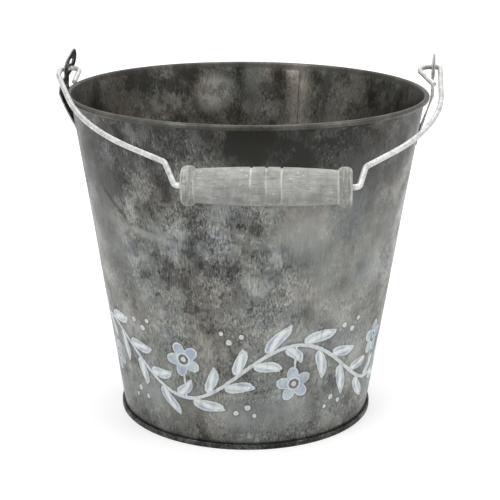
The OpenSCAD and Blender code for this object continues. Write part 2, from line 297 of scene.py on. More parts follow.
@dataclass(frozen=True)
class SpeckledZinc:
    """Dull zinc on a small steel piece: crystals of two sizes with darker oxide between them."""

    name: str
    dark: str
    middle: str
    light: str
    patch_mm: float
    grain_mm: float
    patch_gain: float = 1.0
    grain_gain: float = 1.0
    # Real zinc crystals on wire and small plates are finer, about 0.3 mm: grain_mm is drawn coarser to show.
    rough_low: float = 0.35
    rough_high: float = 0.6
    metallic: float = 0.85

    def material(self) -> bpy.types.Material:
        """Makes the material.

        Returns:
            The material.
        """
        material, tree, shader, place = start_material(self.name)
        patch = grain_field(tree, place, self.patch_mm, 5, 0.62)
        grain = grain_field(tree, place, self.grain_mm, 2, 0.75)
        both = patch * self.patch_gain + grain * self.grain_gain
        colour = set_ramp(
            add_node(tree, "ShaderNodeValToRGB", {0: both + 0.5}),
            [(0.3, self.dark), (0.5, self.middle), (0.7, self.light)],
        )
        rough = both.stretch(-0.2, 0.2, self.rough_high, self.rough_low)
        bump = add_node(tree, "ShaderNodeBump", {"Height": grain, "Distance": 0.1 * MM, "Strength": 0.5})
        tree.links.new(colour.outputs[0], shader.inputs["Base Color"])
        tree.links.new(rough.socket, shader.inputs["Roughness"])
        tree.links.new(bump.outputs[0], shader.inputs["Normal"])
        shader.inputs["Metallic"].default_value = self.metallic
        return material


@dataclass(frozen=True)
class VineFrieze:
    """A running vine brushed round the wall, with leaves, blossoms and berries, in millimetres."""

    waves: int = 4
    wall_r: float = 79.0
    middle_z: float = 45.0
    swing: float = 16.5
    stem_half_w: float = 1.2
    leaves_a_wave: int = 14
    leaf_len: float = 18.0
    leaf_half_w: float = 4.0
    leaf_deg: float = 47.0
    leaf_bow: float = 0.006
    vein_half_w: float = 0.3
    petals: int = 5
    blossom_r: float = 10.5
    blossom_off: float = 6.5
    eye_r: float = 1.7
    eye_ring: float = 1.1
    blossom_gap: float = 1.5
    berries: tuple[tuple[float, float, float], ...] = ((-5.0, 19.5, 1.8), (1.5, 23.0, 1.6), (-9.0, 24.5, 1.4))

    @property
    def pace(self) -> float:
        """Phase of the wave in one millimetre round the wall."""
        return self.waves / self.wall_r

    @property
    def steep(self) -> float:
        """Steepest slope of the stem."""
        return self.swing * self.pace

    def nearer(self, phase: Field, height: Field, guess: Field) -> Field:
        """Moves a guessed phase closer to the stem's nearest point.

        Args:
            phase: the wave's phase at the painted point.
            height: the point's height above the stem's middle line.
            guess: the phase guessed for the nearest point.

        Returns:
            The better phase.
        """
        slope = guess.then("COSINE") * self.steep
        miss = phase - guess + (height - guess.then("SINE") * self.swing) * slope * self.pace
        return guess + miss / (slope * slope + 1.0)

    def leaves(self, along: Field, side: Field, off: Field) -> tuple[Field, Field]:
        """Depth inside the leaves, which stand out from the stem on both sides in turn.

        Args:
            along: distance along the stem.
            side: 1 above the stem and -1 below it.
            off: distance from the stem.

        Returns:
            The depth, negative outside a leaf, and the same with the pale vein taken out.
        """
        lean = math.radians(self.leaf_deg)
        wave_len = (1 + self.steep**2 / 4 - 3 * self.steep**4 / 64) * FULL_TURN / self.pace
        pitch = 2 * wave_len / self.leaves_a_wave
        root = along - off / math.tan(lean) - off * off * self.leaf_bow
        lane = root / pitch + (side - 1.0) * 0.25
        number = lane.then("ROUND")
        across = ((lane - number) * (pitch * math.sin(lean))).then("ABSOLUTE")
        seed = number.then("FLOORED_MODULO", self.leaves_a_wave * self.waves / 2) + side * 0.37
        chance = Field(along.tree, add_node(along.tree, "ShaderNodeTexWhiteNoise", {"W": seed}, noise_dimensions="1D"))
        share = off / ((chance * 0.3 + 0.78) * (self.leaf_len * math.sin(lean)))
        taper = (share * -0.5 + 1.25).then("MAXIMUM", 0.3)
        blade = share * (1.0 - share) * taper * (4 * self.leaf_half_w) - across
        vein = (across - self.vein_half_w).then("MAXIMUM", ((share - 0.45).then("ABSOLUTE") - 0.3) * self.leaf_len)
        return blade, blade.then("MINIMUM", vein)

    def blossoms(self, phase: Field, height: Field) -> tuple[Field, Field]:
        """Depth inside the blossoms that hang in the stem's hollows, and the distance from their middles.

        Args:
            phase: the wave's phase at the painted point.
            height: the point's height above the stem's middle line.

        Returns:
            The depth, negative outside, and the distance.
        """
        half = phase / math.pi - 0.5
        number = half.then("ROUND")
        x = (half - number) * (math.pi / self.pace)
        hollow = phase.then("SINE").then("SIGN")
        y = height + hollow * self.blossom_off
        reach = x.away_from(y)
        lobe = (y.then("ARCTAN2", x) * (self.petals / 2) + number * 0.6).then("COSINE").then("ABSOLUTE")
        petal = (lobe * 0.45 + 0.55) * self.blossom_r - reach
        eye = (self.eye_r - reach).then("MAXIMUM", reach - (self.eye_r + self.eye_ring))
        stalk = (self.stem_half_w * 0.7 - x.then("ABSOLUTE")).then("MINIMUM", hollow * y)
        stalk = stalk.then("MINIMUM", self.swing - height * hollow).then("MINIMUM", reach - self.blossom_r * 0.5)
        return petal.then("MINIMUM", eye).then("MAXIMUM", stalk), reach

    def berry_depth(self, phase: Field, height: Field) -> Field:
        """Depth inside the berries that stand in threes beside the stem.

        Args:
            phase: the wave's phase at the painted point.
            height: the point's height above the stem's middle line.

        Returns:
            The depth, negative outside.
        """
        half = phase / math.pi
        number = half.then("ROUND")
        flip = (number * math.pi).then("COSINE")
        x = (half - number) * flip * (math.pi / self.pace)
        depth = None
        for way in (1, -1):
            for right, up, size in self.berries:
                spot = size - (x - way * right).away_from(height - way * up)
                depth = spot if depth is None else depth.then("MAXIMUM", spot)
        return depth

    def depth(self, turn: Field, z: Field) -> tuple[Field, Field]:
        """How deep inside the painted shapes a point of the wall lies.

        Args:
            turn: angle round the wall, in radians.
            z: height above the floor.

        Returns:
            The depth in millimetres, negative on bare metal, and the same with the leaves' veins taken out.
        """
        phase = turn * self.waves
        height = z - self.middle_z
        foot = self.nearer(phase, height, self.nearer(phase, height, phase))
        rise = height - foot.then("SINE") * self.swing
        off = ((phase - foot) / self.pace).away_from(rise)
        side = rise.then("SIGN")
        even, wavy = 1 + self.steep**2 / 4 - 3 * self.steep**4 / 64, self.steep**2 / 8 - self.steep**4 / 32
        along = (foot * even + (foot * 2.0).then("SINE") * wavy) / self.pace
        flower, reach = self.blossoms(phase, height)
        others = flower.then("MAXIMUM", self.stem_half_w - off).then("MAXIMUM", self.berry_depth(phase, height))
        clear = reach - (self.blossom_r + self.blossom_gap)
        whole, veined = (leaf.then("MINIMUM", clear) for leaf in self.leaves(along, side, off))
        return whole.then("MAXIMUM", others), veined.then("MAXIMUM", others)


@dataclass(frozen=True)
class Blotch:
    """A patch of zinc that stands apart from the rest, in degrees round the wall and millimetres."""

    turn_deg: float
    z: float
    wide: float
    tall: float
    lift: float
    calm: float = 0.0
    tilt_deg: float = 0.0
    wall_r: float = 90.0

    def inside(self, tree: bpy.types.NodeTree, place: bpy.types.NodeSocket, tear: Field) -> Field:
        """Covers the blotch with a ragged edge.

        Args:
            tree: the material's node tree.
            place: the object coordinates in metres.
            tear: mottling about zero that tears the edge.

        Returns:
            1 inside the blotch and 0 outside.
        """
        turn = math.radians(self.turn_deg)
        spot = Vector((self.wall_r * math.cos(turn), self.wall_r * math.sin(turn), self.z)) * MM
        size = Vector((self.wide * 2, self.wide, self.tall)) * MM
        facing = (math.radians(self.tilt_deg), 0, turn)
        lie = {"Vector": place, "Location": spot, "Rotation": facing, "Scale": size}
        near = add_node(tree, "ShaderNodeMapping", lie, vector_type="TEXTURE")
        reach = add_node(tree, "ShaderNodeVectorMath", {0: near}, operation="LENGTH").outputs["Value"]
        return (Field(tree, reach) + tear * 2.2).stretch(0.6, 1.35, 1.0, 0.0)


@dataclass(frozen=True)
class Patina:
    """Galvanized sheet gone dull: soft clouds, ragged oxide patches, fine specks and downward scuffs, with painted
    shade that changes with height.
    """

    name: str
    colours: tuple[tuple[float, str], ...]
    tints: tuple[tuple[float, str], ...]
    blotches: tuple[Blotch, ...] = ()
    cloud_gain: float = 0.34
    streak_gain: float = 0.2
    speck_gain: float = 0.85
    scuff_gain: float = 0.6
    rough_dark: float = 0.46
    rough_light: float = 0.34
    cloud_mm: float = 34.0
    patch_mm: float = 17.0
    busy_mm: float = 26.0
    streak_mm: float = 9.0
    # Real scuffs and specks are about 0.3 mm: both are drawn coarser to show at arm's length.
    scuff_mm: float = 0.9
    speck_mm: float = 1.0
    tint_mm: float = 30.0
    rim_calm: float = 0.6
    rim_lift: float = 0.0

    def shade(self, tree: bpy.types.NodeTree, place: bpy.types.NodeSocket, z: Field) -> Field:
        """How light the bare zinc is.

        Args:
            tree: the material's node tree.
            place: the object coordinates in metres.
            z: height above the floor in millimetres.

        Returns:
            A shade from 0, dark oxide and painted shade, to 1, clean zinc.
        """
        down = add_node(tree, "ShaderNodeMapping", {"Vector": place, "Scale": (1, 1, 0.25)})
        scuffed = add_node(tree, "ShaderNodeMapping", {"Vector": place, "Scale": (1, 1, 0.16)})
        short = add_node(tree, "ShaderNodeMapping", {"Vector": place, "Scale": (1, 1, 0.45)})
        cloud = grain_field(tree, place, self.cloud_mm, 7, 0.62)
        streak = grain_field(tree, down, self.streak_mm, 6, 0.6)
        ragged = grain_field(tree, place, self.patch_mm, 8, 0.68)
        speck = grain_field(tree, short, self.speck_mm, 2, 0.8)
        scuff = grain_field(tree, scuffed, self.scuff_mm, 2, 0.7)
        busy = grain_field(tree, place, self.busy_mm, 4, 0.65)
        patches = ragged.stretch(0.03, 0.045, 0.0, 0.07) + ragged.stretch(-0.075, -0.06, -0.09, 0.0)
        # Painted shade: the zinc darkens towards the top of the wall, where it reflects darker surroundings; it is also
        # darker at the very bottom.
        level = z.stretch(0, 16, -0.08, 0.04) + z.stretch(60, 130, 0.0, -0.05) + z.stretch(125, 168, 0.0, -0.17)
        fine = speck * busy.stretch(-0.02, 0.03, 0.25, 1.0) * self.speck_gain
        fine = fine + scuff * busy.stretch(-0.08, -0.02, 1.0, 0.15) * self.scuff_gain
        fine = fine * z.stretch(130, 165, 1.0, 0.75) + patches
        for blotch in self.blotches:
            inside = blotch.inside(tree, place, ragged)
            level = level + inside * blotch.lift
            fine = fine * (1.0 - inside * blotch.calm)
        rim = z.stretch(180.4, 181.0)
        mottle = (cloud * self.cloud_gain + streak * self.streak_gain + fine) * (1.0 - rim * self.rim_calm)
        return mottle + level + rim * self.rim_lift + 0.5

    def bare(self) -> tuple[bpy.types.Material, bpy.types.Node, Field, Field, list[Field]]:
        """Makes the unpainted material.

        Returns:
            The material, its colour and roughness, its shade, and the coordinates in millimetres.
        """
        material, tree, shader, place = start_material(self.name)
        split = add_node(tree, "ShaderNodeSeparateXYZ", {0: place}).outputs
        spot = [Field(tree, socket) * (1 / MM) for socket in split]
        shade = self.shade(tree, place, spot[2])
        patina = set_ramp(add_node(tree, "ShaderNodeValToRGB", {0: shade}), self.colours)
        tint = grain_field(tree, place, self.tint_mm, 4) + 0.5
        tints = set_ramp(add_node(tree, "ShaderNodeValToRGB", {0: tint}), self.tints)
        zinc = add_node(tree, "ShaderNodeMix", {0: 1.0, 6: patina, 7: tints}, data_type="RGBA", blend_type="MULTIPLY")
        rough = shade.stretch(0.3, 0.75, self.rough_dark, self.rough_light)
        bump = add_node(tree, "ShaderNodeBump", {"Height": shade, "Distance": 0.2 * MM, "Strength": 0.4})
        tree.links.new(zinc.outputs[2], shader.inputs["Base Color"])
        tree.links.new(rough.socket, shader.inputs["Roughness"])
        tree.links.new(bump.outputs[0], shader.inputs["Normal"])
        shader.inputs["Metallic"].default_value = 0.9
        return material, zinc, rough, shade, spot


@dataclass(frozen=True)
class BrushedPaint:
    """Thin chalky paint brushed on by hand: pale blue and lavender, whiter at its edges, worn in streaks, with a
    painted shadow just outside its edge.
    """

    frieze: VineFrieze = VineFrieze()
    brush_mm: float = 1.6
    wear_mm: float = 3.5
    hue_mm: float = 9.0
    edge: float = 0.6

    def over(self, patina: Patina) -> bpy.types.Material:
        """Paints the frieze over a patina.

        Args:
            patina: the bare sheet under it.

        Returns:
            The painted material.
        """
        material, zinc, bare_rough, shade, (x, y, z) = patina.bare()
        tree = material.node_tree
        shader = tree.nodes["Principled BSDF"]
        place = add_node(tree, "ShaderNodeTexCoord").outputs["Object"]
        brush = grain_field(tree, place, self.brush_mm, 3, 0.75) * 1.5
        depth, veined = (shape + brush for shape in self.frieze.depth(y.then("ARCTAN2", x), z))
        down = add_node(tree, "ShaderNodeMapping", {"Vector": place, "Scale": (1, 1, 0.3)})
        cover = grain_field(tree, down, self.wear_mm, 4).stretch(-0.22, 0.02, 0.55, 0.96)
        paint = depth.stretch(0.0, self.edge) * cover
        # Painted shadow: a thin dark line just outside the paint, as if cast by its raised edge.
        rim = depth.stretch(-1.2, -0.2) * (1.0 - depth.stretch(0.0, self.edge)) * 0.3
        hue = grain_field(tree, place, self.hue_mm, 2).stretch(-0.16, 0.16)
        inner = set_ramp(
            add_node(tree, "ShaderNodeValToRGB", {0: hue}),
            [(0.25, "#a9b1c8"), (0.5, "#b7c5ce"), (0.75, "#c2d2d5")],
        )
        light = veined.stretch(0.4, 1.5)
        wash = add_node(tree, "ShaderNodeMix", {0: light, 6: linear("#e9edec"), 7: inner}, data_type="RGBA")
        dark = add_node(tree, "ShaderNodeMix", {0: rim, 6: zinc.outputs[2], 7: linear("#30302e")}, data_type="RGBA")
        colour = add_node(tree, "ShaderNodeMix", {0: paint, 6: dark.outputs[2], 7: wash.outputs[2]}, data_type="RGBA")
        rough = add_node(tree, "ShaderNodeMix", {0: paint, 2: bare_rough, 3: 0.72}, data_type="FLOAT")
        bump = add_node(tree, "ShaderNodeBump", {"Height": shade + paint * 0.3, "Distance": 0.2 * MM, "Strength": 0.4})
        tree.links.new(colour.outputs[2], shader.inputs["Base Color"])
        tree.links.new(rough.outputs[0], shader.inputs["Roughness"])
        tree.links.new((paint * -0.88 + 0.9).socket, shader.inputs["Metallic"])
        tree.links.new(bump.outputs[0], shader.inputs["Normal"])
        return material


@dataclass(frozen=True)
class Whitewash:
    """Turned beech under a thin grey whitewash: faint long grain, lathe marks, paler lines at the grooves."""

    lie: Matrix
    grooves_mm: float
    neck_mm: float
    end_mm: float
    grain_mm: float = 1.5
    cloud_mm: float = 7.0
    pore_mm: float = 0.8
    fleck_mm: float = 1.7
    lathe_mm: float = 0.9
    line_mm: float = 0.5

    def near_line(self, along: Field, at: float, half_w: float) -> Field:
        """Marks a line turned round the grip on both sides of its middle.

        Args:
            along: distance from the grip's middle in millimetres.
            at: where the line is.
            half_w: half of its width.

        Returns:
            1 on the line and 0 away from it.
        """
        return (along.then("ABSOLUTE") - at).then("ABSOLUTE").stretch(half_w * 0.6, half_w * 1.5, 1.0, 0.0)

    def material(self) -> bpy.types.Material:
        """Makes the material.

        Returns:
            The material, for a grip that lies as the matrix says.
        """
        material, tree, shader, place = start_material("Whitewashed beech")
        spot = {"Vector": place, "Location": self.lie.translation, "Rotation": self.lie.to_euler()}
        wood = add_node(tree, "ShaderNodeMapping", spot, vector_type="TEXTURE")
        along = Field(tree, add_node(tree, "ShaderNodeSeparateXYZ", {0: wood}).outputs["X"]) * (1 / MM)
        grain_way = add_node(tree, "ShaderNodeMapping", {"Vector": wood, "Scale": (0.1, 1, 1)})
        lathe_way = add_node(tree, "ShaderNodeMapping", {"Vector": wood, "Scale": (1, 0.12, 0.12)})
        grain = grain_field(tree, grain_way, self.grain_mm, 4, 0.65)
        cloud = grain_field(tree, wood, self.cloud_mm, 5, 0.65)
        pores = grain_field(tree, grain_way, self.pore_mm, 2, 0.5)
        flecks = grain_field(tree, wood, self.fleck_mm, 1, 0.5)
        lathe = grain_field(tree, lathe_way, self.lathe_mm, 2, 0.6)
        bead = along.then("ABSOLUTE").stretch(self.neck_mm - 0.2, self.neck_mm + 0.2)
        marks = lathe * bead.stretch(0, 1, 0.15, 0.9) - bead * 0.07
        colour = set_ramp(
            add_node(tree, "ShaderNodeValToRGB", {0: grain * 0.35 + cloud * 0.7 + marks + 0.5}),
            [(0.3, "#74756f"), (0.5, "#959691"), (0.7, "#b2b3ae")],
        )
        pore = pores.stretch(-0.17, -0.11, 0.6, 0.0)
        dark = add_node(tree, "ShaderNodeMix", {0: pore, 6: colour, 7: linear("#6f6e69")}, data_type="RGBA")
        wash = self.near_line(along, 0.0, self.line_mm).then("MAXIMUM", self.near_line(along, self.grooves_mm, self.line_mm))
        wash = wash.then("MAXIMUM", self.near_line(along, self.neck_mm, self.line_mm * 0.7) * 0.8)
        wash = wash.then("MAXIMUM", self.near_line(along, self.end_mm - self.line_mm, self.line_mm) * 0.6)
        wash = wash * (cloud + lathe).stretch(-0.12, 0.12, 0.25, 1.0)
        pale = wash.then("MAXIMUM", flecks.stretch(0.2, 0.26, 0.0, 0.6))
        washed = add_node(tree, "ShaderNodeMix", {0: pale, 6: dark.outputs[2], 7: linear("#cfcfca")}, data_type="RGBA")
        bump = add_node(tree, "ShaderNodeBump", {"Height": grain + lathe * bead, "Distance": 0.2 * MM, "Strength": 0.5})
        tree.links.new(washed.outputs[2], shader.inputs["Base Color"])
        tree.links.new(bump.outputs[0], shader.inputs["Normal"])
        shader.inputs["Roughness"].default_value = 0.7
        return material


# The bucket's body


@dataclass
class SheetBody:
    """The wall and bottom of the bucket, in millimetres."""

    rim_d: float = 200.0
    body_h: float = 184.0
    foot_d: float = 145.0
    sheet_t: float = 0.5
    fold_gap: float = 0.05
    rim_wire_d: float = 1.9
    roll_open_deg: float = 50.0
    foot_seam_h: float = 3.0
    base_recess: float = 5.0
    lap_w: float = 9.0
    lap_deg: float = 76.0
    lap_margin: float = 3.0
    dent: float = 0.22
    turns: int = 256
    rows: int = 30

    def layer_r(self, layer: int) -> float:
        """Middle radius of a layer of the foot seam, counted inwards."""
        return self.foot_d / 2 - self.sheet_t / 2 - layer * (self.sheet_t + self.fold_gap)

    @property
    def roll_r(self) -> float:
        """Middle radius of the sheet rolled round the rim wire."""
        return self.rim_wire_d / 2 + self.fold_gap + self.sheet_t / 2

    @property
    def bead(self) -> Vector:
        """Centre of the rim wire, as radius and height."""
        r = self.roll_r + self.sheet_t / 2
        return Vector((self.rim_d / 2 - r, self.body_h - r))

    @property
    def rim_level(self) -> float:
        """Height of the underside of the rolled rim."""
        return 2 * self.bead.y - self.body_h

    @property
    def wall_foot(self) -> Vector:
        """Where the wall leaves the seam, as radius and height."""
        return Vector((self.layer_r(3), self.foot_seam_h))

    @property
    def taper(self) -> float:
        """Angle of the wall from upright, in radians."""
        rise = self.bead - self.wall_foot
        return math.atan2(rise.x, rise.y) - math.asin(self.roll_r / rise.length)

    @property
    def wall_len(self) -> float:
        """Length of the wall from the seam to the roll."""
        return math.sqrt((self.bead - self.wall_foot).length_squared - self.roll_r**2)

    def on_wall(self, rise: float, outward: float = 0.0) -> Vector:
        """A point of the wall's section.

        Args:
            rise: distance up the slope from the seam.
            outward: distance out from the sheet's middle.

        Returns:
            Radius and height.
        """
        slope = Vector((math.sin(self.taper), math.cos(self.taper)))
        return self.wall_foot + rise * slope + outward * Vector((slope.y, -slope.x))

    def section_point(self, r: float, z: float) -> Vector:
        """A section point as a place in metres."""
        return Vector((r * MM, 0, z * MM))

    def round_corners(self, bm: bmesh.types.BMesh, corners: list[bmesh.types.BMVert], size: float) -> None:
        """Rounds the folds of a section before it is spun.

        Args:
            bm: the mesh that holds the section.
            corners: the vertices at the folds.
            size: how far each rounding reaches.
        """
        bmesh.ops.bevel(
            bm,
            geom=corners,
            affect="VERTICES",
            offset=size * MM,
            segments=3,
            profile=0.5,
            material=-1,
        )

    def thicken(self, piece: bpy.types.Object) -> None:
        """Gives a spun sheet its real thickness, equally to both sides.

        Args:
            piece: the sheet's middle surface.
        """
        solid = piece.modifiers.new("Sheet", "SOLIDIFY")
        solid.thickness = self.sheet_t * MM
        solid.offset = 0
        solid.use_even_offset = True

    def knock(self, bm: bmesh.types.BMesh) -> None:
        """Leaves the shallow waves that handling gives a thin wall, least at the rim and the foot.

        Args:
            bm: the mesh of a piece of the wall, in metres.
        """
        for vert in bm.verts:
            z = vert.co.z / MM
            free = min(max((z - 8) / 40, 0), max((self.body_h - 6 - z) / 40, 0), 1)
            push = noise.noise(vert.co / (48 * MM)) + 0.4 * noise.noise(vert.co / (19 * MM) + Vector((7, 0, 0)))
            outward = Vector((vert.co.x, vert.co.y, 0)).normalized()
            vert.co -= outward * (self.dent * MM * free * (push + 0.6))

    def build_wall(self, outside: bpy.types.Material, inside: bpy.types.Material) -> bpy.types.Object:
        """Spins the wall from its seam hook to its rolled edge.

        Args:
            outside: finish of the painted side.
            inside: finish of the inner side, which the roll turns outwards on the rim.

        Returns:
            The wall.
        """
        hook_r = self.layer_r(1)
        fold_z = self.sheet_t * 1.5 + self.fold_gap
        bm = bmesh.new()
        points = [
            (hook_r, self.foot_seam_h - self.sheet_t - self.fold_gap),
            (hook_r, fold_z),
            (self.wall_foot.x, fold_z),
        ]
        points += [self.on_wall(self.wall_len * row / self.rows) for row in range(self.rows + 1)]
        verts = path_edges(bm, [self.section_point(*p) for p in points])
        bmesh.ops.spin(
            bm,
            geom=[verts[-1]],
            cent=self.section_point(*self.bead),
            axis=(0, 1, 0),
            angle=math.radians(360 - self.roll_open_deg),
            steps=28,
        )
        self.round_corners(bm, verts[1:3], 0.25)
        spin_round(bm, self.turns)
        bmesh.ops.reverse_faces(bm, faces=bm.faces[:])
        self.knock(bm)
        wall = new_piece(bm, "wall_sheet", outside)
        wall.data.materials.append(inside)
        self.thicken(wall)
        wall.modifiers["Sheet"].material_offset = 1
        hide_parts("bucket_wall")
        return wall

    def build_lap(self, finish: bpy.types.Material) -> bpy.types.Object:
        """Lays the second thickness of the lap against the inside of the wall.

        Args:
            finish: finish of the inner side.

        Returns:
            The strip.
        """
        low = (self.base_recess + self.lap_margin - self.wall_foot.y) / math.cos(self.taper)
        high = self.wall_len - self.lap_margin
        bm = bmesh.new()
        bmesh.ops.create_grid(bm, x_segments=6, y_segments=self.rows, size=0.5)
        for vert in bm.verts:
            along = low + (vert.co.y + 0.5) * (high - low)
            at = self.on_wall(along, -self.sheet_t)
            turn = math.radians(self.lap_deg) + vert.co.x * self.lap_w / at.x
            vert.co = Vector((at.x * math.cos(turn), at.x * math.sin(turn), at.y)) * MM
        self.knock(bm)
        bmesh.ops.recalc_face_normals(bm, faces=bm.faces[:])
        lap = new_piece(bm, "wall_lap", finish)
        self.thicken(lap)
        edge = lap.modifiers.new("Edge", "BEVEL")
        edge.width = 0.15 * MM
        edge.segments = 2
        edge.limit_method = "ANGLE"
        return lap

    def build_base(self, finish: bpy.types.Material, inside: bpy.types.Material) -> bpy.types.Object:
        """Spins the recessed bottom with the folded foot seam.

        Args:
            finish: finish of the seam.
            inside: finish of the bottom disc.

        Returns:
            The bottom.
        """
        disc_z = self.base_recess - self.sheet_t / 2
        low = self.sheet_t / 2
        high = self.foot_seam_h - self.sheet_t / 2
        hook_end = self.sheet_t * 2 + 2 * self.fold_gap
        inner_r, outer_r, hook_r = (self.layer_r(i) for i in (4, 0, 2))
        disc_steps = 8
        points = [(inner_r * 0.97 * step / disc_steps, disc_z) for step in range(disc_steps + 1)]
        points += [
            (inner_r, disc_z),
            (inner_r, low),
            (outer_r, low),
            (outer_r, high),
            (hook_r, high),
            (hook_r, hook_end),
        ]
        bm = bmesh.new()
        verts = path_edges(bm, [self.section_point(*p) for p in points])
        self.round_corners(bm, verts[-7:-1], 0.25)
        spin_round(bm, self.turns)
        bmesh.ops.remove_doubles(bm, verts=bm.verts[:], dist=0.01 * MM)
        base = new_piece(bm, "base_sheet", finish)
        base.data.materials.append(inside)
        for face in base.data.polygons:
            face.material_index = int(face.center.z > (disc_z - self.sheet_t) * MM)
        self.thicken(base)
        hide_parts("bucket_base")
        return base


# Ears


@dataclass
class Ear:
    """One stamped ear, in millimetres, drawn on the right and mirrored for the left."""

    side: Side
    body: SheetBody
    lean_deg: float
    turn_deg: float
    bend_rise: float
    upper_hole: bool
    ear_t: float = 0.8
    hole_reach: float = 10.0
    hole_pitch: float = 4.4
    hole_d: float = 3.5
    tip_reach: float = 22.0
    leaf_len: float = 18.0
    leaf_w: float = 10.5
    tail_w: float = 13.0
    tail_drop: float = 30.0
    tail_rise: float = 9.5
    weld_pad: float = 6.0
    ear_gap: float = 0.05
    rows: int = 110

    @property
    def lean(self) -> float:
        """Inward lean of the leaf, in radians."""
        return math.radians(self.lean_deg)

    @property
    def turn(self) -> float:
        """Turn of the ear about its own height, in radians."""
        return math.radians(self.turn_deg)

    @property
    def bend(self) -> Vector:
        """Middle of the line where the leaf starts.

        Returns:
            The place in millimetres, on the right side.
        """
        stand_off = self.tail_half_w(self.body.rim_level) * math.sin(abs(self.turn))
        bend_x = self.body.rim_d / 2 + self.ear_gap + stand_off + self.ear_t / 2
        hole = self.hole_reach + self.hole_pitch * self.upper_hole
        return Vector((bend_x, hole * math.sin(self.lean) * math.sin(self.turn), self.body.body_h + self.bend_rise))

    def up_leaf(self, reach: float) -> Vector:
        """A point of the leaf's middle line.

        Args:
            reach: distance from the bend.

        Returns:
            The place in millimetres, on the right side.
        """
        slope = math.sin(self.lean)
        way = Vector((-slope * math.cos(self.turn), -slope * math.sin(self.turn), math.cos(self.lean)))
        return self.bend + reach * way

    @property
    def pivot(self) -> Vector:
        """Centre of the hole that holds the bail."""
        return self.up_leaf(self.hole_reach + self.hole_pitch * self.upper_hole)

    @staticmethod
    def lens_half_w(half_len: float, half_w: float, along: float) -> float:
        """Half width of a pointed leaf.

        Args:
            half_len: half of its length.
            half_w: half of its greatest width.
            along: distance along it from its middle.

        Returns:
            The half width there, or 0 beyond its tips.
        """
        if abs(along) >= half_len:
            return 0.0
        arc_r = (half_len**2 + half_w**2) / (2 * half_w)
        return math.sqrt(arc_r**2 - along**2) - arc_r + half_w

    def tail_half_w(self, z: float) -> float:
        """Half width of the tail at a height."""
        half_len = (self.tail_drop + self.tail_rise) / 2
        return self.lens_half_w(half_len, self.tail_w / 2, z - (self.body.body_h - self.tail_drop + half_len))

    def place(self, across: float, z_flat: float) -> Vector:
        """Bends a point of the flat stamping to its place on the right side.

        Args:
            across: share of the half width, from -1 to 1.
            z_flat: height along the stamping, as if it stood upright.

        Returns:
            The place in millimetres.
        """
        body, bend = self.body, self.bend
        pad_z = body.body_h - self.tail_drop + self.weld_pad
        pad_rise = (pad_z - body.wall_foot.y) / math.cos(body.taper)
        pad = body.on_wall(pad_rise, body.sheet_t / 2 + self.ear_gap + self.ear_t / 2)
        half_w, twist = self.tail_half_w(z_flat), self.turn
        if z_flat > bend.z:
            reach = z_flat - bend.z
            from_middle = reach - self.tip_reach + self.leaf_len / 2
            half_w = max(half_w, self.lens_half_w(self.leaf_len / 2, self.leaf_w / 2, from_middle))
            middle = self.up_leaf(reach)
        elif z_flat > body.rim_level:
            middle = Vector((bend.x, bend.y, z_flat))
        elif z_flat > pad_z:
            share = (z_flat - pad_z) / (body.rim_level - pad_z)
            middle = Vector((pad.x + share * (bend.x - pad.x), share * bend.y, z_flat))
            twist = share * self.turn
        else:
            at = body.on_wall(pad_rise - (pad_z - z_flat), body.sheet_t / 2 + self.ear_gap + self.ear_t / 2)
            middle = Vector((at.x, 0, at.y))
            twist = 0.0
        y = across * half_w
        return middle + y * Vector((-math.sin(twist), math.cos(twist), 0))

    def build(self, finish: bpy.types.Material, sheared: bpy.types.Material) -> bpy.types.Object:
        """Stamps, bends and pierces the ear.

        Args:
            finish: finish of its two faces.
            sheared: finish of its cut edge, paler than the faces as a painted highlight.

        Returns:
            The ear.
        """
        low = self.body.body_h - self.tail_drop + 0.02
        high = self.bend.z + self.tip_reach - 0.02
        bm = bmesh.new()
        bmesh.ops.create_grid(bm, x_segments=8, y_segments=self.rows, size=1)
        for vert in bm.verts:
            z_flat = low + (vert.co.y + 1) / 2 * (high - low)
            at = self.place(vert.co.x, z_flat)
            vert.co = Vector((at.x * self.side.value, at.y, at.z)) * MM
        bmesh.ops.remove_doubles(bm, verts=bm.verts[:], dist=0.01 * MM)
        bmesh.ops.recalc_face_normals(bm, faces=bm.faces[:])
        name = f"{self.side.name.lower()}_ear_plate"
        ear = new_piece(bm, name, finish, 30)
        ear.data.materials.append(sheared)
        solid = ear.modifiers.new("Plate", "SOLIDIFY")
        solid.thickness = self.ear_t * MM
        solid.offset = 0
        solid.material_offset_rim = 1
        cutter = self.hole_cutter()
        cut = ear.modifiers.new("Holes", "BOOLEAN")
        cut.operation = "DIFFERENCE"
        cut.object = cutter
        cut.solver = "EXACT"
        apply_modifiers(ear)
        bpy.data.objects.remove(cutter)
        edge = ear.modifiers.new("Edge", "BEVEL")
        edge.width = 0.16 * MM
        edge.segments = 2
        edge.limit_method = "ANGLE"
        edge.angle_limit = math.radians(50)
        ear.data.set_sharp_from_angle(angle=math.radians(40))
        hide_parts(f"{self.side.name.lower()}_ear")
        return ear

    def hole_cutter(self) -> bpy.types.Object:
        """Makes the two punches for the lower and the upper hole.

        Returns:
            An object that is taken away after the cut.
        """
        bm = bmesh.new()
        for reach in (self.hole_reach, self.hole_reach + self.hole_pitch):
            size = self.hole_d / 2 * MM
            punch = bmesh.ops.create_cone(bm, cap_ends=True, segments=40, radius1=size, radius2=size, depth=6.4 * MM)
            spot = Matrix.Translation(self.up_leaf(reach) * MM) @ Matrix.Rotation(math.pi / 2, 4, "Y")
            bmesh.ops.transform(bm, matrix=spot, verts=punch["verts"])
        if self.side is Side.LEFT:
            bmesh.ops.scale(bm, vec=(-1, 1, 1), verts=bm.verts[:])
        bmesh.ops.recalc_face_normals(bm, faces=bm.faces[:])
        mesh = bpy.data.meshes.new("punches")
        bm.to_mesh(mesh)
        bm.free()
        punches = bpy.data.objects.new("punches", mesh)
        bpy.context.scene.collection.objects.link(punches)
        return punches


# Bail and grip


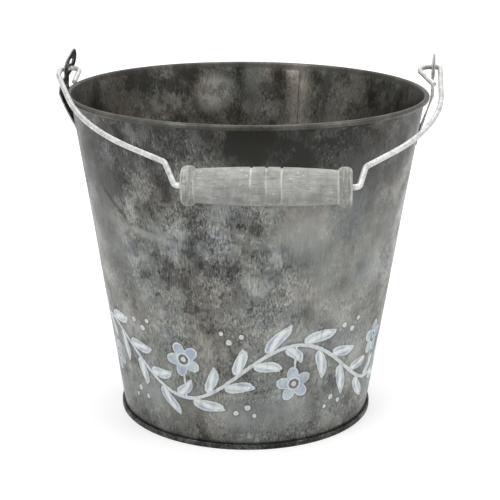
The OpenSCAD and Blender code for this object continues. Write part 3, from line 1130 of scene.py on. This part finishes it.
@dataclass
class Arm:
    """One half of the bail from its hook to its shoulder, in millimetres."""

    ear: Ear
    hook_out: float
    outer_r: float
    hook_in: float
    hook_r: float
    hook_len: float
    toe_deg: float
    leg: float
    leg_deg: float
    arm_deg: float
    elbow_r: float
    shoulder_out: float
    shoulder_rise: float


@dataclass
class Bail:
    """The bent wire and the wooden grip that turns on it, in millimetres."""

    left: Arm
    right: Arm
    rest_deg: float = 13.0
    wire_d: float = 2.8
    reach: float = 143.5
    grip_shift: float = 14.2
    skew_deg: float = 1.2
    first_bend_r: float = 12.0
    shoulder_r: float = 7.0
    corner_r: float = 2.8
    grip_len: float = 78.5
    end_bead_d: float = 18.7
    end_bead_w: float = 6.4
    neck_d: float = 15.7
    barrel_d: float = 18.0
    groove_pitch: float = 7.0
    groove_r: float = 0.7
    bore_gap: float = 0.3
    round_steps: int = 24
    facet_len: float = 2.0
    tilt: float = field(init=False)
    pivot_z: float = field(init=False)
    grip_mid: float = field(init=False)

    def __post_init__(self) -> None:
        """Lays the pivot axis through the two holes and finds the middle of the grip along it."""
        left, right = self.left.ear.pivot, self.right.ear.pivot
        self.tilt = math.atan2(right.z - left.z, left.x + right.x)
        self.pivot_z = left.z + left.x * math.tan(self.tilt)
        self.grip_mid = (right.x - left.x) / math.cos(self.tilt) / 2 + self.grip_shift

    def half_path(self, arm: Arm) -> list[tuple[float, float, float]]:
        """Corners of one half of the wire, with x counted outwards, and their bend radii.

        Args:
            arm: that half's own sizes.

        Returns:
            Corners from the hook's end to the corner beside the grip.
        """
        side = arm.ear.side.value
        pivot = arm.ear.pivot.x / math.cos(self.tilt)
        out, inner = pivot + arm.hook_out, pivot - arm.hook_in
        leg_t, arm_t = math.tan(math.radians(arm.leg_deg)), math.tan(math.radians(arm.arm_deg))
        grip_end = self.grip_len / 2 + side * self.grip_mid
        shoulder = Vector((grip_end + arm.shoulder_out, self.reach - arm.shoulder_rise))
        run = (out - shoulder.x - (shoulder.y - arm.leg) * arm_t) / (arm_t - leg_t)
        elbow = Vector((out + run * leg_t, arm.leg - run))
        toe = arm.hook_len * math.tan(math.radians(arm.toe_deg))
        corners = [(inner + toe, arm.hook_len, 0.0), (inner, 0.0, arm.hook_r), (out, 0.0, arm.outer_r)]
        if arm.leg > 0:
            corners.append((out, arm.leg, self.first_bend_r))
        skew = math.radians(self.skew_deg)
        half = self.grip_len / 2 + self.corner_r + 0.2
        corner = (half * math.cos(skew) + side * self.grip_mid, self.reach + side * half * math.sin(skew), self.corner_r)
        return corners + [(elbow.x, elbow.y, arm.elbow_r), (shoulder.x, shoulder.y, self.shoulder_r), corner]

    def path(self) -> list[tuple[Vector, float]]:
        """Corners of the whole wire in its own plane.

        Returns:
            Corners with their bend radii, from the left hook to the right.
        """
        left, right = self.half_path(self.left), self.half_path(self.right)
        points = [(Vector((-x, -y, 0)), r) for x, y, r in left]
        return points + [(Vector((x, -y, 0)), r) for x, y, r in reversed(right)]

    def to_rest(self) -> Matrix:
        """Carries the flat wire to where it rests on the rim.

        Returns:
            The transform, in metres.
        """
        return (
            Matrix.Translation((0, 0, self.pivot_z * MM))
            @ Matrix.Rotation(-self.tilt, 4, "Y")
            @ Matrix.Rotation(math.radians(self.rest_deg), 4, "X")
        )

    @property
    def grip_place(self) -> Matrix:
        """Carries the grip from the origin, where it lies along x, to its place on the resting wire.

        Returns:
            The transform, in metres.
        """
        along = Matrix.Rotation(-math.radians(self.skew_deg), 4, "Z")
        return self.to_rest() @ Matrix.Translation((self.grip_mid * MM, -self.reach * MM, 0)) @ along

    def build_wire(self, finish: bpy.types.Material) -> bpy.types.Object:
        """Draws the wire through its straights and spins it round its bends.

        Args:
            finish: its zinc.

        Returns:
            The wire.
        """
        corners = self.path()
        start, after = corners[0][0], corners[1][0]
        way = (after - start).normalized()
        bm = bmesh.new()
        ring = bmesh.ops.create_circle(bm, cap_ends=True, segments=self.round_steps, radius=self.wire_d / 2 * MM)
        set_up = Matrix.Translation(start * MM) @ way.to_track_quat("Z", "Y").to_matrix().to_4x4()
        bmesh.ops.transform(bm, matrix=set_up, verts=ring["verts"])
        front = bm.edges[:]
        used = 0.0
        for (here, _), (point, radius), (ahead, _) in zip(corners, corners[1:], corners[2:]):
            way, onward = (point - here).normalized(), (ahead - point).normalized()
            turn = way.cross(onward).z
            angle = math.asin(max(-1.0, min(1.0, turn)))
            if way.dot(onward) < 0:
                angle = math.copysign(math.pi - abs(angle), angle)
            tangent = radius * math.tan(abs(angle) / 2)
            straight = (point - here).length - used - tangent
            front = self.draw_on(bm, front, way * straight * MM)
            inward = Vector((-way.y, way.x, 0)) * math.copysign(radius, angle)
            centre = point - way * tangent + inward
            steps = math.ceil(max(abs(math.degrees(angle)) / 7, radius * abs(angle) / self.facet_len))
            result = bmesh.ops.spin(
                bm, geom=front, cent=centre * MM, axis=(0, 0, 1), angle=angle, steps=steps, use_merge=False
            )
            front = [g for g in result["geom_last"] if isinstance(g, bmesh.types.BMEdge)]
            used = tangent
        last_way = (corners[-1][0] - corners[-2][0]).normalized()
        rest = (corners[-1][0] - corners[-2][0]).length - used
        front = self.draw_on(bm, front, last_way * rest * MM)
        bmesh.ops.contextual_create(bm, geom=front)
        bmesh.ops.remove_doubles(bm, verts=bm.verts[:], dist=0.001 * MM)
        bmesh.ops.recalc_face_normals(bm, faces=bm.faces[:])
        rims = [e for f in bm.faces if len(f.verts) > 4 for e in f.edges]
        bmesh.ops.bevel(bm, geom=rims, affect="EDGES", offset=0.2 * MM, segments=2, profile=0.5, material=-1)
        bmesh.ops.transform(bm, matrix=self.to_rest(), verts=bm.verts[:])
        wire = new_piece(bm, "bail_wire", finish, 50)
        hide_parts("bail")
        return wire

    @staticmethod
    def draw_on(bm: bmesh.types.BMesh, front: list[bmesh.types.BMEdge], step: Vector) -> list[bmesh.types.BMEdge]:
        """Draws the open end of the wire onwards.

        Args:
            bm: the wire's mesh.
            front: edges of its open end.
            step: how far and which way.

        Returns:
            Edges of the new open end.
        """
        grown = bmesh.ops.extrude_edge_only(bm, edges=front)["geom"]
        verts = [g for g in grown if isinstance(g, bmesh.types.BMVert)]
        bmesh.ops.translate(bm, vec=step, verts=verts)
        return [g for g in grown if isinstance(g, bmesh.types.BMEdge) and all(v in verts for v in g.verts)]

    def grip_radius(self, x: float) -> float:
        """Radius of the barrel, grooves included.

        Args:
            x: distance from the grip's middle.

        Returns:
            The radius in millimetres.
        """
        half = self.grip_len / 2 - self.end_bead_w
        swell = (self.barrel_d - self.neck_d) / 2
        radius = self.barrel_d / 2 - swell * (x / half) ** 2
        for groove in (-1, 0, 1):
            off = abs(x - groove * self.groove_pitch)
            if off < self.groove_r:
                radius -= math.sqrt(self.groove_r**2 - off**2) - 0.1
        return radius

    def build_grip(self, finish: bpy.types.Material) -> bpy.types.Object:
        """Turns the grip: two rounded end beads, a swelling barrel and its grooves.

        Args:
            finish: its whitewash.

        Returns:
            The grip.
        """
        bore = self.wire_d / 2 + self.bore_gap
        half = self.grip_len / 2
        neck = half - self.end_bead_w
        marks = [-neck + 2 * neck * i / 60 for i in range(61)]
        for groove in (-1, 0, 1):
            centre = groove * self.groove_pitch
            marks = [m for m in marks if abs(m - centre) > self.groove_r + 0.15]
            marks += [centre + self.groove_r * s for s in (-1, -0.8, -0.45, 0, 0.45, 0.8, 1)]
        marks.sort()
        profile = [(-half, bore), (-half, self.end_bead_d / 2), (-neck, self.end_bead_d / 2)]
        profile += [(m, self.grip_radius(m)) for m in marks]
        profile += [(neck, self.end_bead_d / 2), (half, self.end_bead_d / 2), (half, bore)]
        bm = bmesh.new()
        verts = path_edges(bm, [Vector((x * MM, 0, r * MM)) for x, r in profile])
        bmesh.ops.bevel(
            bm,
            geom=[verts[1], verts[2], verts[-2], verts[-3]],
            affect="VERTICES",
            offset=self.end_bead_w * 0.38 * MM,
            segments=6,
            profile=0.5,
            material=-1,
        )
        ends = [v for v in bm.verts if len(v.link_edges) == 1]
        bm.edges.new(ends)
        bmesh.ops.spin(
            bm,
            geom=bm.verts[:] + bm.edges[:],
            cent=(0, 0, 0),
            axis=(1, 0, 0),
            angle=FULL_TURN,
            steps=72,
            use_merge=True,
        )
        bmesh.ops.recalc_face_normals(bm, faces=bm.faces[:])
        bmesh.ops.transform(bm, matrix=self.grip_place, verts=bm.verts[:])
        grip = new_piece(bm, "grip_wood", finish, 35)
        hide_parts("grip")
        return grip


# Studio


@dataclass
class Studio:
    """Floor, lamps and camera of the photograph, in millimetres and degrees."""

    distance: float = 740.2
    height: float = 315.1
    side_turn_deg: float = 2.865
    yaw_deg: float = 0.149
    pitch_deg: float = 16.828
    roll_deg: float = 0.398
    focal_px: float = 1350.0
    image_px: float = 500.0
    sensor: float = 36.0
    fill_light: float = 0.55
    shadow_near: float = 0.14
    shadow_far: float = 0.45
    glow_near: float = 0.41
    glow_far: float = 0.66

    @staticmethod
    def seen_rays(tree: bpy.types.NodeTree) -> Field:
        """Picks the rays that show the backdrop: those of the camera, gloss and glass.

        Args:
            tree: the node tree of a material or of the world.

        Returns:
            1 on those rays and 0 on the others.
        """
        path = add_node(tree, "ShaderNodeLightPath").outputs
        seen = Field(tree, path["Is Camera Ray"]).then("MAXIMUM", Field(tree, path["Is Glossy Ray"]))
        return seen.then("MAXIMUM", Field(tree, path["Is Transmission Ray"]))

    def build_camera(self) -> None:
        """Sets the camera where the photograph was taken from."""
        lens = bpy.data.cameras.new("camera")
        lens.sensor_width = self.sensor
        lens.lens = self.focal_px / self.image_px * self.sensor
        lens.clip_start = 0.01
        camera = bpy.data.objects.new("camera", lens)
        bpy.context.scene.collection.objects.link(camera)
        side = math.radians(self.side_turn_deg)
        spot = Vector((self.distance * math.sin(side), -self.distance * math.cos(side), self.height)) * MM
        camera.matrix_world = (
            Matrix.Translation(spot)
            @ Matrix.Rotation(side - math.radians(self.yaw_deg), 4, "Z")
            @ Matrix.Rotation(math.radians(90 - self.pitch_deg), 4, "X")
            @ Matrix.Rotation(math.radians(self.roll_deg), 4, "Z")
        )
        bpy.context.scene.camera = camera

    def build_floor(self) -> None:
        """Lays a plain white floor that keeps the bucket's soft shadow."""
        bm = bmesh.new()
        bmesh.ops.create_grid(bm, x_segments=1, y_segments=1, size=4.0)
        material = bpy.data.materials.new("White paper")
        material.use_nodes = True
        tree = material.node_tree
        tree.nodes.remove(tree.nodes["Principled BSDF"])
        place = add_node(tree, "ShaderNodeTexCoord").outputs["Object"]
        x, y = (Field(tree, add_node(tree, "ShaderNodeSeparateXYZ", {0: place}).outputs[axis]) for axis in "XY")
        brighten = x.away_from(y).stretch(self.shadow_near, self.shadow_far, self.glow_near, self.glow_far)
        paper = add_node(tree, "ShaderNodeBsdfDiffuse", {"Color": linear("#d9d9d9")})
        glow = add_node(tree, "ShaderNodeEmission", {"Color": (1, 1, 1, 1), "Strength": brighten})
        lit = add_node(tree, "ShaderNodeAddShader", {0: paper, 1: glow})
        both = add_node(tree, "ShaderNodeMixShader", {0: self.seen_rays(tree), 1: paper, 2: lit})
        tree.links.new(both.outputs[0], tree.nodes["Material Output"].inputs["Surface"])
        floor = new_piece(bm, "floor", material)

    def build_world(self) -> None:
        """Surrounds the bucket with a white backdrop, as camera and gloss see it, over a soft fill."""
        world = bpy.data.worlds.new("studio")
        bpy.context.scene.world = world
        world.use_nodes = True
        tree = world.node_tree
        back = tree.nodes["Background"]
        strength = self.seen_rays(tree).stretch(0, 1, self.fill_light, 1.0)
        back.inputs["Color"].default_value = (1, 1, 1, 1)
        tree.links.new(strength.socket, back.inputs["Strength"])

    def build_lamps(self) -> None:
        """Hangs the soft lamps: one above in front, one at each side."""
        for name, spot, size, watts in (
            ("key", (-0.9, -1.1, 1.5), 1.0, 16.0),
            ("fill", (1.2, -0.5, 0.9), 0.9, 7.0),
            ("top", (0.1, 0.5, 1.6), 1.2, 12.0),
        ):
            lamp = bpy.data.lights.new(name, "AREA")
            lamp.size = size
            lamp.energy = watts
            piece = bpy.data.objects.new(name, lamp)
            piece.location = spot
            aim = Vector((0, 0, 0.1)) - Vector(spot)
            piece.rotation_euler = aim.to_track_quat("-Z", "Y").to_euler()
            bpy.context.scene.collection.objects.link(piece)

    def build(self) -> None:
        """Builds the whole studio."""
        self.build_camera()
        self.build_floor()
        self.build_world()
        self.build_lamps()
        bpy.context.scene.view_settings.view_transform = "Standard"


def dress_hidden_wire(finish: bpy.types.Material) -> None:
    """Gives the wire inside the rolled rim its zinc finish."""
    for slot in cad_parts["rim_wire"].material_slots:
        slot.material = finish


def main() -> None:
    """Builds the dressed bucket and the studio round it."""
    logging.basicConfig(level=logging.INFO, format="%(message)s")
    Studio().build()
    body = SheetBody()
    left_ear = Ear(Side.LEFT, body, lean_deg=19, turn_deg=20, bend_rise=0.8, upper_hole=False)
    right_ear = Ear(Side.RIGHT, body, lean_deg=0, turn_deg=-12, bend_rise=-0.4, upper_hole=True)
    bail = Bail(
        left=Arm(
            left_ear,
            hook_out=4.2,
            outer_r=3.4,
            hook_in=6.5,
            hook_r=4.3,
            hook_len=19.5,
            toe_deg=1,
            leg=9.6,
            leg_deg=18.5,
            arm_deg=49.2,
            elbow_r=142,
            shoulder_out=10.2,
            shoulder_rise=25.6,
        ),
        right=Arm(
            right_ear,
            hook_out=3.6,
            outer_r=3,
            hook_in=9.8,
            hook_r=5.5,
            hook_len=25,
            toe_deg=18.5,
            leg=0,
            leg_deg=3.5,
            arm_deg=41.2,
            elbow_r=118,
            shoulder_out=6.6,
            shoulder_rise=20.3,
        ),
    )
    # Dull zinc that reads as soft grey clouds, smooth in some places and flecked in others, under chalky paint.
    painted = BrushedPaint().over(
        Patina(
            "Weathered galvanized sheet, painted",
            ((0.22, "#2e2e2c"), (0.38, "#50504f"), (0.52, "#747573"), (0.66, "#929391"), (0.82, "#b0b2af")),
            ((0.36, "#f1ebe3"), (0.46, "#f8f7f3"), (0.55, "#f3f6f2"), (0.66, "#f1f1f8")),
            (
                Blotch(-83.5, 168, 28, 14, -0.09, 0.65),
                Blotch(-144, 124, 17, 42, -0.04, 0.75),
                Blotch(-122, 118, 13, 22, -0.07),
                # A crease drawn only in colour: a thin painted shadow along its upper edge and a painted highlight
                # along its ridge lower down.
                Blotch(-137, 133.4, 14, 1.6, -0.1, 0.3, tilt_deg=-37),
                Blotch(-121, 120, 17, 2.2, 0.1, 0.6, tilt_deg=-10),
                Blotch(-92, 108, 20, 18, -0.08),
                Blotch(-97, 138, 18, 8, -0.05),
                Blotch(-68, 128, 15, 14, 0.07, 0.7),
                Blotch(-47, 112, 30, 38, 0.04, 0.7),
                Blotch(-45, 156, 26, 18, -0.02, 0.6),
                Blotch(-120, 26, 24, 10, 0.04, 0.7),
                Blotch(-95, 20, 14, 8, 0.1, 0.4),
                Blotch(-74, 19, 24, 11, 0.02, 0.75),
            ),
        )
    )
    # The same sheet gone browner inside, with two worn spots that catch the light.
    inner = Patina(
        "Weathered galvanized sheet, inside",
        ((0.2, "#343330"), (0.32, "#51504c"), (0.46, "#73716d"), (0.62, "#9b9892"), (0.8, "#bdbab5")),
        ((0.38, "#f2ebe3"), (0.5, "#f6f3ed"), (0.6, "#eef2ef")),
        (
            Blotch(105.5, 166, 12, 11, 0.38),
            Blotch(73.6, 170, 8, 15, 0.22),
            Blotch(91, 168, 6, 20, 0.04, 0.7),
            Blotch(137, 166, 34, 24, -0.08),
            # Painted shade: the bottom inside the bucket and the foot of its inner wall are darker.
            Blotch(0, 4, 90, 8, -0.17, 0.3, wall_r=0),
        ),
        cloud_gain=0.6,
    ).bare()[0]
    # Nearly black in the seam at the foot.
    foot = SpeckledZinc("Weathered galvanized sheet, foot", "#232422", "#3d3e3b", "#62645f", 9, 1.1).material()
    # Dark plate with bright flecks, like frost.
    stamping = SpeckledZinc(
        "Weathered galvanized steel stamping", "#30302e", "#6c6d69", "#b8bab6", 6, 0.9, 0.6, 1.3
    ).material()
    # The cut edge of the same plate, paler than the faces: a painted highlight where the thin edge catches the light.
    sheared = SpeckledZinc(
        "Weathered galvanized steel, sheared edge", "#6a6b67", "#9b9c98", "#c9cbc7", 4, 0.8, 0.6, 0.7, metallic=0.7
    ).material()
    # Pale, almost white wire with a soft sheen and faint grey flecks.
    zinc_wire = SpeckledZinc(
        "Hot-dip galvanized wire", "#989996", "#bec0bd", "#d9dbd8", 5, 0.8, 0.7, 0.9, metallic=0.6
    ).material()
    # Chalky grey wood without any shine; the turned lines are paler.
    neck = bail.grip_len / 2 - bail.end_bead_w
    wood = Whitewash(bail.grip_place, bail.groove_pitch, neck, bail.grip_len / 2).material()
    pieces = (
        (body.build_wall(painted, inner), "bucket"),
        (body.build_lap(inner), "bucket"),
        (body.build_base(foot, inner), "bucket"),
        (left_ear.build(stamping, sheared), "bucket"),
        (right_ear.build(stamping, sheared), "bucket"),
        (bail.build_wire(zinc_wire), "bail"),
        (bail.build_grip(wood), "grip"),
    )
    for piece, carrier in pieces:
        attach(piece, carrier)
        log.info("%s: %d faces, rides on %s", piece.name, len(piece.data.polygons), carrier)
    dress_hidden_wire(zinc_wire)


if __name__ == "__main__":
    main()
